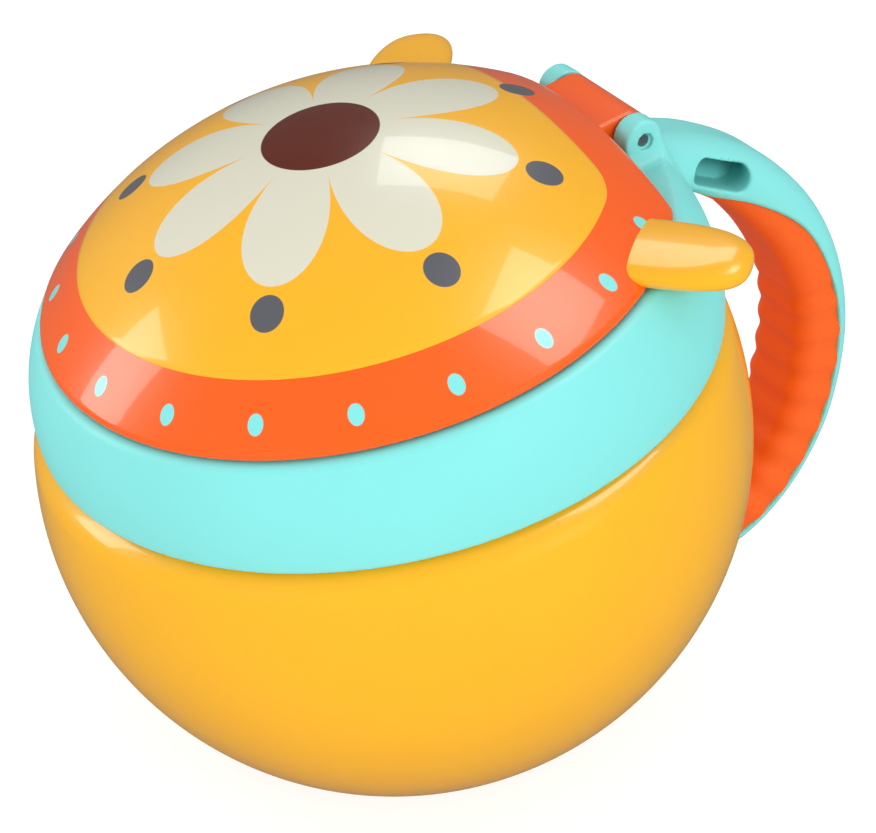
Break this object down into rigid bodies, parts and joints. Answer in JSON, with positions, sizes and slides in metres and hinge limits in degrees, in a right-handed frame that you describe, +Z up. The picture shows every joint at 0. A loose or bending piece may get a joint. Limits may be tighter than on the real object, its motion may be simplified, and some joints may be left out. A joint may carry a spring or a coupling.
{
  "type": "toddler snack container",
  "caption": "Ball-shaped toddler snack container with a turning collar, a hinged domed lid, a loop handle with a ribbed grip, and soft flaps across the mouth.",
  "frame": {"origin": "middle of the flat face that the bowl stands on", "axes": "+Z up, +Y toward the hinge and the handle, -Y the front, X across the hinge pin"},
  "size_m": [0.108, 0.1361, 0.103],
  "materials": {
    "bowl_plastic": "moulded gloss, sunny yellow",
    "collar_plastic": "satin, pale aqua",
    "grip_rubber": "soft overmoulded grip, orange",
    "pin_steel": "plain steel pin",
    "flap_rubber": "thin soft flaps, orange",
    "lid_plastic": "moulded gloss, orange",
    "crown_plastic": "moulded gloss, yellow with a printed pattern",
    "liner_plastic": "moulded, off-white",
    "ear_plastic": "moulded gloss, yellow"
  },
  "bodies": {
    "bowl": {"bowl": "bowl_plastic"},
    "collar": {"collar_ring": "collar_plastic", "handle_frame": "collar_plastic", "handle_grip": "grip_rubber", "hinge_pin": "pin_steel", "flap_ring": "flap_rubber"},
    "lid": {"lid_shell": "lid_plastic", "crown_panel": "crown_plastic", "lid_liner": "liner_plastic", "ear_left": "ear_plastic", "ear_right": "ear_plastic"},
    "flap_1": {"flap_1": "flap_rubber"},
    "flap_2": {"flap_2": "flap_rubber"},
    "flap_3": {"flap_3": "flap_rubber"},
    "flap_4": {"flap_4": "flap_rubber"},
    "flap_5": {"flap_5": "flap_rubber"},
    "flap_6": {"flap_6": "flap_rubber"}
  },
  "joints": [
    {"name": "collar_turn", "type": "hinge", "parent": "bowl", "child": "collar", "pos_m": [0, 0, 0.04837], "axis": [0, -0.2011, 0.9796], "range_deg": [0, 45]},
    {"name": "lid_hinge", "type": "hinge", "parent": "collar", "child": "lid", "pos_m": [0, 0.03472, 0.09423], "axis": [-1, 0, 0], "range_deg": [0, 118]},
    {"name": "flap_1_bend", "type": "hinge", "parent": "collar", "child": "flap_1", "pos_m": [0, -0.03546, 0.07031], "axis": [1, 0, 0], "range_deg": [-60, 25], "stiffness_Nm_per_rad": 0.01},
    {"name": "flap_2_bend", "type": "hinge", "parent": "collar", "child": "flap_2", "pos_m": [0.02641, -0.02067, 0.07403], "axis": [0.5, 0.8399, 0.211], "range_deg": [-60, 25], "stiffness_Nm_per_rad": 0.01},
    {"name": "flap_3_bend", "type": "hinge", "parent": "collar", "child": "flap_3", "pos_m": [0.02641, 0.00891, 0.08146], "axis": [-0.5, 0.8399, 0.211], "range_deg": [-60, 25], "stiffness_Nm_per_rad": 0.01},
    {"name": "flap_4_bend", "type": "hinge", "parent": "collar", "child": "flap_4", "pos_m": [0, 0.0237, 0.08517], "axis": [-1, 0, 0], "range_deg": [-60, 25], "stiffness_Nm_per_rad": 0.01},
    {"name": "flap_5_bend", "type": "hinge", "parent": "collar", "child": "flap_5", "pos_m": [-0.02641, 0.00891, 0.08146], "axis": [-0.5, -0.8399, -0.211], "range_deg": [-60, 25], "stiffness_Nm_per_rad": 0.01},
    {"name": "flap_6_bend", "type": "hinge", "parent": "collar", "child": "flap_6", "pos_m": [-0.02641, -0.02067, 0.07403], "axis": [0.5, -0.8399, -0.211], "range_deg": [-60, 25], "stiffness_Nm_per_rad": 0.01}
  ]
}
